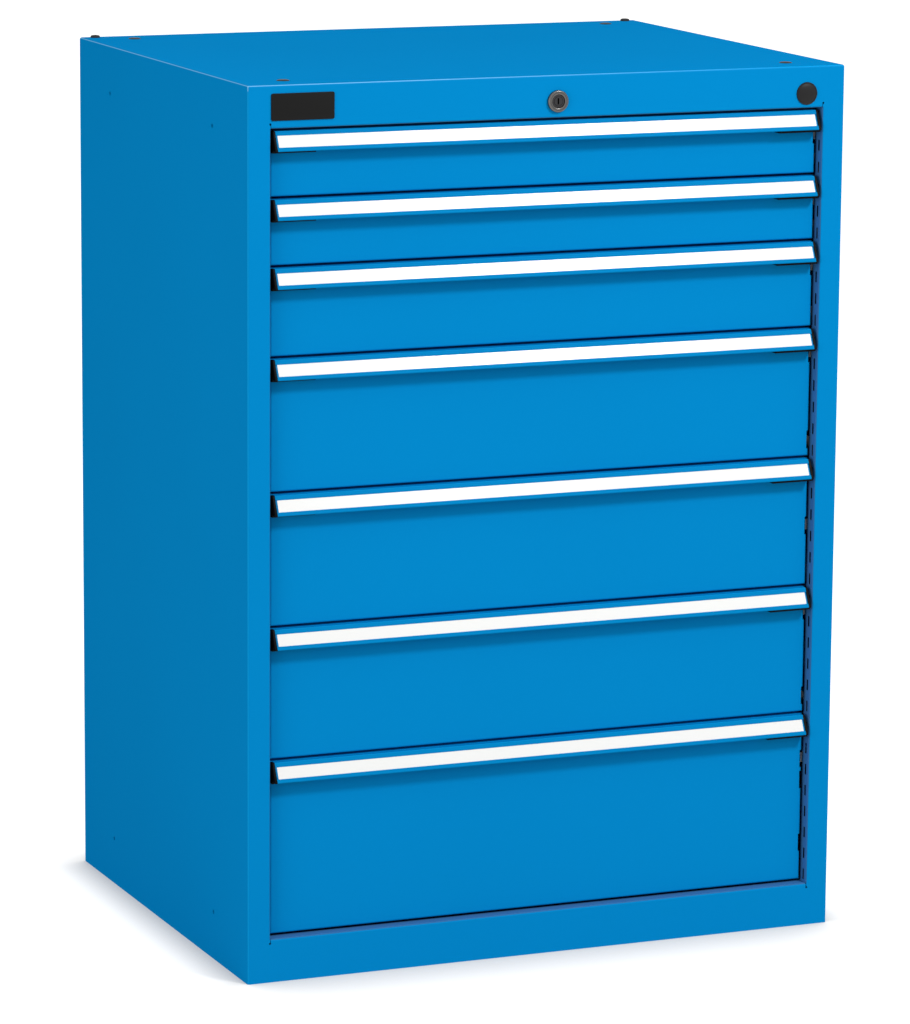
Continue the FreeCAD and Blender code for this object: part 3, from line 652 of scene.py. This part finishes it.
def turned(axis_point, axis, profile, sides=64, bored=False):
    """A turned body: a round blank drawn out ring by ring. The profile is (distance along the
    axis, radius) in millimetres. A bored body has its first and last ring bridged."""
    point, along = Vector(axis_point), Vector(axis)
    start, radius = profile[0]
    piece = start_piece(bpy.ops.mesh.primitive_circle_add, vertices=sides, radius=radius * MM,
                        fill_type="NGON", location=point + along * start * MM,
                        rotation=along.to_track_quat("Z", "Y").to_euler())
    bpy.ops.mesh.select_mode(type="FACE")
    bpy.ops.mesh.select_all(action="SELECT")
    for (d0, r0), (d1, r1) in zip(profile, profile[1:]):
        bpy.ops.mesh.extrude_region_move(
            TRANSFORM_OT_translate={"value": along * (d1 - d0) * MM})
        bpy.ops.transform.resize(value=(r1 / r0,) * 3, center_override=point + along * d1 * MM)
    if bored:
        pick(piece, "FACE", lambda face: len(face.verts) == sides)
        bpy.ops.mesh.bridge_edge_loops()
    return piece


def apply_modifier(piece, kind, **settings):
    """Adds one modifier and applies it."""
    made = piece.modifiers.new(kind.lower(), kind)
    for key, value in settings.items():
        setattr(made, key, value)
    bpy.ops.object.modifier_apply(modifier=made.name)


def close_piece(piece, rounding=0.0, segments=2):
    """Merges doubles, turns the faces outwards, rounds the edges and smooths the shading."""
    bpy.ops.mesh.select_mode(type="VERT")
    bpy.ops.mesh.select_all(action="SELECT")
    bpy.ops.mesh.remove_doubles(threshold=MERGE_WITHIN)
    bpy.ops.mesh.normals_make_consistent(inside=False)
    bpy.ops.object.mode_set(mode="OBJECT")
    if rounding:
        apply_modifier(piece, "BEVEL", width=rounding, segments=segments, limit_method="ANGLE",
                       angle_limit=ROUNDED_FROM)
    bpy.ops.object.shade_smooth_by_angle(angle=CREASED_FROM)
    return piece


def join_pieces(parts):
    """Joins closed parts into the first one."""
    bpy.ops.object.select_all(action="DESELECT")
    for part in parts:
        part.select_set(True)
    bpy.context.view_layer.objects.active = parts[0]
    bpy.ops.object.join()
    return parts[0]


def copy_piece(piece, shift):
    """A copy with its own mesh, which holds its place."""
    twin = piece.copy()
    twin.data = piece.data.copy()
    twin.data.transform(Matrix.Translation(shift))
    bpy.context.scene.collection.objects.link(twin)
    return twin


def fit(piece, name, body, slot, *stands_for, variant=None):
    """Names a finished piece, gives it its finish, and fixes it to its body."""
    piece.name = name
    piece.data.name = name
    piece.data.materials.clear()
    piece.data.materials.append(finish_for(variant or slot))
    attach(piece, body)
    if stands_for:
        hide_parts(*stands_for)


# ------------------------ fittings

# Turned profiles, as (distance along the axis, radius) in millimetres.

# barrel, flange, chamfered rim, a groove round the face, the inner lip and the bore
LOCK_SHELL = (
    (-17.0, 9.5), (-4.0, 9.5), (0.0, 9.5), (0.0, 12.0), (0.3, 12.25), (2.2, 12.25), (2.9, 12.0),
    (3.35, 11.5), (3.5, 10.9), (3.5, 10.2), (3.05, 9.9), (3.05, 9.3), (3.5, 9.0), (3.5, 8.2),
    (3.2, 7.75), (2.4, 7.55), (-17.0, 7.55))
# six-sided, with both ends chamfered
LOCK_NUT = (
    (-5.5, 11.1), (-5.5, 12.3), (-5.1, 13.0), (-1.9, 13.0), (-1.5, 12.3), (-1.5, 11.1))
# stub, plug, and a chamfered face with a shallow ring about the keyway
CORE_FACE = 2.3
LOCK_CORE = (
    (-23.4, 2.5), (-17.0, 2.5), (-17.0, 7.5), (1.9, 7.5), (CORE_FACE, 7.1), (CORE_FACE, 5.6),
    (1.95, 5.35), (1.95, 5.0), (CORE_FACE, 4.8), (CORE_FACE, 3.9))
# snap stem, flange with a raised rim, and a low dome inside it
HEADER_PLUG = (
    (-6.0, 9.9), (-5.2, 10.5), (0.0, 10.5), (0.0, 12.6), (0.2, 12.8), (0.9, 12.8), (1.35, 12.5),
    (1.45, 12.1), (1.35, 11.7), (1.05, 11.4), (1.15, 11.0), (1.65, 9.8), (2.1, 8.0), (2.45, 5.8),
    (2.68, 3.4), (2.78, 1.0))
# stem, sloping flange and a flat middle
ROOF_PLUG = (
    (-5.0, 5.2), (-4.6, 5.6), (0.0, 5.6), (0.0, 7.1), (0.15, 7.25), (0.35, 7.2), (0.65, 6.7),
    (0.95, 5.8), (1.15, 4.8), (1.25, 3.8), (1.28, 2.8), (1.28, 0.8))
# stem and a soft dome
REAR_CAP = (
    (-5.0, 2.6), (-4.6, 3.0), (0.0, 3.0), (0.0, 5.3), (0.2, 5.5), (1.3, 5.5), (1.9, 5.3),
    (2.4, 4.75), (2.75, 3.7), (2.93, 2.3), (3.0, 0.7))
# bore, hub, dished web, rim and a tread with a shallow groove
ROLLER = (
    (0.0, 4.05), (0.0, 6.4), (0.7, 6.9), (0.7, 12.0), (0.0, 12.6), (0.0, 14.6), (0.6, 15.2),
    (3.0, 15.2), (3.3, 14.9), (3.95, 14.9), (4.25, 15.2), (6.65, 15.2), (7.25, 14.6),
    (7.25, 12.6), (6.55, 12.0), (6.55, 6.9), (7.25, 6.4), (7.25, 4.05))
# rivet shank and its head with a punched dimple
RIVET = (
    (0.0, 4.0), (9.3, 4.0), (9.3, 5.3), (9.5, 5.5), (9.8, 5.4), (10.05, 4.9), (10.1, 4.3),
    (10.1, 2.4), (9.8, 1.9), (9.75, 0.6))


class CABINET_OT_lock(bpy.types.Operator):
    """Turns the lock's bezel, nut and core, and cuts the key slot"""
    bl_idname = "cabinet.lock"
    bl_label = "Lock"

    keyway_half_width, keyway_half_height, keyway_depth = 0.9 * MM, 3.5 * MM, 5.0 * MM
    keyway_rounding = 0.35 * MM

    def execute(self, context):
        axis = context.scene.cabinet_fittings.lock_axis
        shell = close_piece(turned(axis, FRONTWARDS, LOCK_SHELL, bored=True))
        nut = close_piece(turned(axis, FRONTWARDS, LOCK_NUT, sides=6, bored=True))
        fit(join_pieces([shell, nut]), "lock_bezel_and_nut", "carcass", "lock_chrome",
            "lock_housing")

        core = close_piece(turned(axis, FRONTWARDS, LOCK_CORE))
        half_width, half_height = self.keyway_half_width, self.keyway_half_height
        face = axis[1] - CORE_FACE * MM
        # the cutter stands 1 mm out of the face
        keyway = start_block(
            (axis[0] - half_width, face - MM, axis[2] - half_height),
            (axis[0] + half_width, face + self.keyway_depth, axis[2] + half_height))
        close_piece(keyway, rounding=self.keyway_rounding)
        bpy.ops.object.select_all(action="DESELECT")
        context.view_layer.objects.active = core
        apply_modifier(core, "BOOLEAN", operation="DIFFERENCE", solver="EXACT", object=keyway)
        bpy.data.objects.remove(keyway)
        core.select_set(True)
        bpy.ops.object.shade_smooth_by_angle(angle=CREASED_FROM)
        fit(core, "lock_core_with_keyway", "lock_core", "lock_steel", "lock_core")
        return {"FINISHED"}


class CABINET_OT_plugs(bpy.types.Operator):
    """Turns the header plug, the four roof plugs and the two rear caps"""
    bl_idname = "cabinet.plugs"
    bl_label = "Plugs and caps"

    def execute(self, context):
        sizes = context.scene.cabinet_fittings
        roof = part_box("top_panel")[1].z
        plug = close_piece(turned(sizes.plug_axis, FRONTWARDS, HEADER_PLUG))
        fit(plug, "header_plug_domed", "carcass", "black_plastic", "header_plug", variant=PLUG)

        first = close_piece(turned((-sizes.fixing_half_x, -sizes.fixing_half_y, roof), UPWARDS,
                                   ROOF_PLUG, sides=48))
        across, deep = 2 * sizes.fixing_half_x, 2 * sizes.fixing_half_y
        others = [copy_piece(first, shift)
                  for shift in ((across, 0, 0), (0, deep, 0), (across, deep, 0))]
        fit(join_pieces([first, *others]), "roof_plugs_low", "carcass", "black_plastic",
            "roof_plugs", variant=PLUG)

        left = close_piece(turned((-sizes.rear_cap_x, sizes.rear_cap_y, roof), UPWARDS,
                                  REAR_CAP, sides=40))
        right = copy_piece(left, (2 * sizes.rear_cap_x, 0, 0))
        fit(join_pieces([left, right]), "rear_caps_domed", "carcass", "black_rubber",
            "rear_corner_caps")
        return {"FINISHED"}


class CABINET_OT_plate(bpy.types.Operator):
    """Cuts the blank plate on the header, with round corners and a softened rim"""
    bl_idname = "cabinet.plate"
    bl_label = "Blank plate"

    rim = 0.25 * MM

    def execute(self, context):
        lo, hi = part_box("name_plate")
        plate = start_block(lo, hi)
        pick(plate, "EDGE", lambda edge: runs(edge, FRONTWARDS))
        bpy.ops.mesh.bevel(offset=context.scene.cabinet_fittings.plate_corner, segments=8)
        pick(plate, "FACE", lambda face: looks(face, FRONTWARDS))
        bpy.ops.mesh.bevel(offset=self.rim, segments=3)
        close_piece(plate)
        fit(plate, "name_plate_blank", "carcass", "black_plate", "name_plate")
        return {"FINISHED"}


class CABINET_OT_handle_caps(bpy.types.Operator):
    """Moulds the handles' end caps with their feet, one pair for each drawer"""
    bl_idname = "cabinet.handle_caps"
    bl_label = "Handle caps"

    cap_wall, foot_length, foot_wall = 3.0 * MM, 48.0 * MM, 2.6 * MM
    shelf, slant = 6.5 * MM, 10.5 * MM

    def cap(self, side, foot_depth, rounding):
        """The cap of drawer 1 at one end of its handle, side -1 or 1."""
        lo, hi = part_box("drawer_1_handle_caps")
        under = lo.z + self.foot_wall
        outer, inner = side * hi.x, side * (hi.x - self.cap_wall)
        block = start_block((min(outer, inner), lo.y, under), (max(outer, inner), hi.y, hi.z))
        # the slanted front, then a foot drawn down from the underside and along the handle
        bpy.ops.mesh.select_all(action="SELECT")
        bpy.ops.mesh.bisect(plane_co=(0, hi.y - self.shelf, hi.z),
                            plane_no=(0, under - hi.z, self.slant),
                            use_fill=True, clear_outer=True)
        bpy.ops.mesh.select_all(action="SELECT")
        bpy.ops.mesh.bisect(plane_co=(0, hi.y - foot_depth, 0), plane_no=(0, 1, 0))
        pick(block, "FACE", lambda face: looks(face, -UPWARDS)
             and face.calc_center_median().y > hi.y - foot_depth)
        bpy.ops.mesh.extrude_region_move(
            TRANSFORM_OT_translate={"value": -UPWARDS * self.foot_wall})
        pick(block, "FACE", lambda face: looks(face, -side * RIGHTWARDS)
             and face.calc_center_median().z < under)
        bpy.ops.mesh.extrude_region_move(
            TRANSFORM_OT_translate={"value": -side * RIGHTWARDS * self.foot_length})
        return close_piece(block, rounding=rounding, segments=3)

    def execute(self, context):
        sizes = context.scene.cabinet_fittings
        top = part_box("drawer_1_handle_caps")[1].z
        pair = join_pieces([self.cap(-1, sizes.left_foot_depth, sizes.cap_rounding),
                            self.cap(1, sizes.right_foot_depth, sizes.cap_rounding)])
        for n in DRAWERS:
            node = f"drawer_{n}_handle_caps"
            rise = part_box(node)[1].z - top
            fit(copy_piece(pair, (0, 0, rise)), f"handle_caps_{n}", f"drawer_{n}",
                "black_plastic", node)
        bpy.data.objects.remove(pair)
        return {"FINISHED"}


class CABINET_OT_slides(bpy.types.Operator):
    """Models the moving slide bars with their rollers and riveted pins, one pair for each drawer"""
    bl_idname = "cabinet.slides"
    bl_label = "Slides"

    # the bar: distance of its middle from the cabinet's, half its thickness and half its height
    bar_x, bar_half, bar_half_height = 319.0 * MM, 1.25 * MM, 12.0 * MM
    bar_corner, bar_rounding = 5.0 * MM, 0.25 * MM
    # the groove pressed in each face: its distance from the bar's edge, its slope and its depth
    groove_margin, groove_slope, groove_depth = 4.5 * MM, 0.8 * MM, 0.5 * MM
    roller_gap = 0.4 * MM
    # how far along the bar each roller sits, and on which of its faces
    roller_places = ((-0.2378, -1), (-0.0462, -1), (-0.0028, 1), (0.2518, 1))

    def bar(self, lo, hi, middle_z):
        """The flat bar with rounded corners and a shallow stiffening groove in both faces."""
        bar = start_block(
            (self.bar_x - self.bar_half, lo.y, middle_z - self.bar_half_height),
            (self.bar_x + self.bar_half, hi.y, middle_z + self.bar_half_height))
        pick(bar, "EDGE", lambda edge: runs(edge, RIGHTWARDS))
        bpy.ops.mesh.bevel(offset=self.bar_corner, segments=6)
        for side in (-1, 1):
            pick(bar, "FACE", lambda face: looks(face, side * RIGHTWARDS))
            bpy.ops.mesh.inset(thickness=self.groove_margin)
            bpy.ops.mesh.inset(thickness=self.groove_slope)
            bpy.ops.transform.translate(value=-side * RIGHTWARDS * self.groove_depth)
        return close_piece(bar, rounding=self.bar_rounding)

    def execute(self, context):
        lo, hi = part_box("drawer_1_slides")
        middle_z = (lo.z + hi.z) / 2
        parts = [self.bar(lo, hi, middle_z)]
        for y, side in self.roller_places:
            outwards = side * RIGHTWARDS
            face = (self.bar_x + side * (self.bar_half + self.roller_gap), y, middle_z)
            parts.append(close_piece(turned(face, outwards, ROLLER, sides=48, bored=True)))
            parts.append(close_piece(turned((self.bar_x, y, middle_z), outwards, RIVET,
                                            sides=32)))
        pair = join_pieces(parts)
        apply_modifier(pair, "MIRROR")
        for n in DRAWERS:
            node = f"drawer_{n}_slides"
            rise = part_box(node)[1].z - hi.z
            fit(copy_piece(pair, (0, 0, rise)), f"slides_{n}", f"slide_{n}",
                "zinc_plated_steel", node)
        bpy.data.objects.remove(pair)
        return {"FINISHED"}


class CABINET_OT_drawer_rims(bpy.types.Operator):
    """Folds the hem along the rim of each drawer tub"""
    bl_idname = "cabinet.drawer_rims"
    bl_label = "Drawer rims"

    # the rim's outer line: half its width, and its front and back
    half_x, front, back = 306.0 * MM, -255.0 * MM, 204.0 * MM
    rounding = 0.45 * MM

    def execute(self, context):
        sizes = context.scene.cabinet_fittings
        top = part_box("drawer_1_tub")[1].z
        middle = Vector((0, (self.front + self.back) / 2, top))
        rim = start_piece(bpy.ops.mesh.primitive_plane_add, size=1.0, location=middle)
        bpy.ops.mesh.select_all(action="SELECT")
        bpy.ops.transform.resize(value=(2 * self.half_x, self.back - self.front, 1),
                                 center_override=middle)
        bpy.ops.mesh.select_mode(type="FACE")
        bpy.ops.mesh.inset(thickness=sizes.hem_wall)
        bpy.ops.mesh.delete(type="FACE")
        bpy.ops.mesh.select_all(action="SELECT")
        bpy.ops.mesh.extrude_region_move(
            TRANSFORM_OT_translate={"value": -UPWARDS * sizes.hem_height})
        close_piece(rim, rounding=self.rounding, segments=3)
        for n in DRAWERS:
            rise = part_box(f"drawer_{n}_tub")[1].z - top
            fit(copy_piece(rim, (0, 0, rise)), f"drawer_rim_{n}", f"drawer_{n}", "blue_enamel")
        bpy.data.objects.remove(rim)
        return {"FINISHED"}


# ------------------------ stage

# how far behind the front edge the contact shadow's reach has changed to the sides' one
SHADOW_TURN = 0.02
VIEW_DEPTH = 200.0


def seen_directly(tree):
    """1 for camera, glossy and transmission rays, else 0."""
    ray = add_node(tree, "ShaderNodeLightPath")
    mirrored = add_node(tree, "ShaderNodeMath", {"operation": "MAXIMUM"},
                        {0: ray.outputs["Is Glossy Ray"], 1: ray.outputs["Is Transmission Ray"]})
    return add_node(tree, "ShaderNodeMath", {"operation": "MAXIMUM"},
                    {0: ray.outputs["Is Camera Ray"], 1: mirrored.outputs[0]}).outputs[0]


def add_world(stage):
    """An even light from all round, which the camera sees as white."""
    white = linear("#FFFFFF")
    world = bpy.data.worlds.new("studio")
    world.use_nodes = True
    tree = world.node_tree
    tree.nodes.clear()
    even = add_node(tree, "ShaderNodeBackground", {"Color": white, "Strength": stage.surround})
    shown = add_node(tree, "ShaderNodeBackground", {"Color": white, "Strength": 1.0})
    either = add_node(tree, "ShaderNodeMixShader", None,
                      {0: seen_directly(tree), 1: even.outputs[0], 2: shown.outputs[0]})
    add_node(tree, "ShaderNodeOutputWorld", None, {"Surface": either.outputs[0]})
    bpy.context.scene.world = world


def pale_studio_floor(stage, front):
    """Matt pale paper that the camera sees near white. Its glow fades where the cabinet stands
    close, which leaves a soft contact shadow."""
    finish, tree, place = new_finish("pale_studio_floor")
    tone = add_node(tree, "ShaderNodeBsdfDiffuse", {"Color": linear(stage.floor_color)})
    spot = add_node(tree, "ShaderNodeSeparateXYZ", None, {0: place})
    reach = add_node(tree, "ShaderNodeMapRange",
                     {"From Min": front, "From Max": front + SHADOW_TURN,
                      "To Min": stage.front_shadow, "To Max": stage.side_shadow},
                     {"Value": spot.outputs["Y"]})
    near = add_node(tree, "ShaderNodeAmbientOcclusion", None,
                    {"Distance": reach.outputs["Result"]})
    deep = add_node(tree, "ShaderNodeMath", {"operation": "POWER", 1: stage.contact_depth},
                    {0: near.outputs["AO"]})
    soft = add_node(tree, "ShaderNodeMath", {"operation": "MULTIPLY", 1: stage.floor_glow},
                    {0: deep.outputs[0]})
    glow = add_node(tree, "ShaderNodeEmission", {"Color": linear("#FFFFFF")},
                    {"Strength": soft.outputs[0]})
    lifted = add_node(tree, "ShaderNodeAddShader", None,
                      {0: tone.outputs[0], 1: glow.outputs[0]})
    shown = add_node(tree, "ShaderNodeMixShader", None,
                     {0: seen_directly(tree), 1: tone.outputs[0], 2: lifted.outputs[0]})
    add_node(tree, "ShaderNodeOutputMaterial", None, {"Surface": shown.outputs[0]})
    return finish


def panel_lamp(name, place, side, level, target):
    """A square soft lamp that gives a white face turned to it the level at the target."""
    data = bpy.data.lights.new(name, "AREA")
    data.shape = "SQUARE"
    data.size = side
    lamp = bpy.data.objects.new(name, data)
    bpy.context.scene.collection.objects.link(lamp)
    lamp.location = place
    throw = target - lamp.location
    lamp.rotation_euler = throw.to_track_quat("-Z", "Y").to_euler()
    # a far panel of 1 W shows as 1 / (pi * distance) squared on white
    data.energy = level * (math.pi * throw.length) ** 2


def add_camera(stage):
    """The camera at the photograph's viewing angle."""
    data = bpy.data.cameras.new("product_view")
    data.lens = stage.camera_lens
    data.clip_end = VIEW_DEPTH
    camera = bpy.data.objects.new("product_view", data)
    bpy.context.scene.collection.objects.link(camera)
    turn = (Matrix.Rotation(-stage.camera_heading, 4, "Z")
            @ Matrix.Rotation(math.pi / 2 - stage.camera_pitch, 4, "X")
            @ Matrix.Rotation(stage.camera_roll, 4, "Z"))
    camera.matrix_world = Matrix.Translation(stage.camera_place) @ turn
    bpy.context.scene.camera = camera


class CABINET_OT_stage(bpy.types.Operator):
    """Adds the pale floor, the soft light and the camera"""
    bl_idname = "cabinet.stage"
    bl_label = "Stage"

    def execute(self, context):
        stage = context.scene.cabinet_stage
        lo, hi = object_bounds()
        middle = (lo + hi) / 2
        add_world(stage)

        bpy.ops.object.select_all(action="DESELECT")
        bpy.ops.mesh.primitive_plane_add(size=stage.floor_side, location=(0, 0, lo.z))
        floor = context.active_object
        floor.name = "studio_floor"
        floor.data.materials.append(pale_studio_floor(stage, lo.y))
        floor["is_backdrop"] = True

        panel_lamp("key_light", stage.key_place, stage.key_size, stage.key_level, middle)
        panel_lamp("side_light", stage.side_place, stage.side_size, stage.side_level, middle)
        add_camera(stage)
        context.scene.view_settings.view_transform = "Standard"
        return {"FINISHED"}


# ------------------------ panel and registration

OPERATORS = (CABINET_OT_stage, CABINET_OT_finishes, CABINET_OT_lock, CABINET_OT_plugs,
             CABINET_OT_plate, CABINET_OT_handle_caps, CABINET_OT_slides, CABINET_OT_drawer_rims)


class CABINET_PT_tools(bpy.types.Panel):
    """Lists the steps that dress the cabinet"""
    bl_idname = "CABINET_PT_tools"
    bl_label = "Drawer cabinet"
    bl_space_type = "VIEW_3D"
    bl_region_type = "UI"
    bl_category = "Cabinet"

    def draw(self, context):
        for step in OPERATORS:
            self.layout.operator(step.bl_idname)


SETTINGS = {"cabinet_stage": StageSettings, "cabinet_fittings": FittingSettings,
            "cabinet_finish": FinishSettings}
CLASSES = (*SETTINGS.values(), *OPERATORS, CABINET_PT_tools)


def register():
    for item in CLASSES:
        bpy.utils.register_class(item)
    for name, group in SETTINGS.items():
        setattr(bpy.types.Scene, name, bpy.props.PointerProperty(type=group))


def unregister():
    for name in SETTINGS:
        delattr(bpy.types.Scene, name)
    for item in reversed(CLASSES):
        bpy.utils.unregister_class(item)


def main():
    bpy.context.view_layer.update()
    register()
    bpy.ops.cabinet.stage()
    bpy.ops.cabinet.finishes()
    bpy.ops.cabinet.lock()
    bpy.ops.cabinet.plugs()
    bpy.ops.cabinet.plate()
    bpy.ops.cabinet.handle_caps()
    bpy.ops.cabinet.slides()
    bpy.ops.cabinet.drawer_rims()


if __name__ == "__main__":
    main()
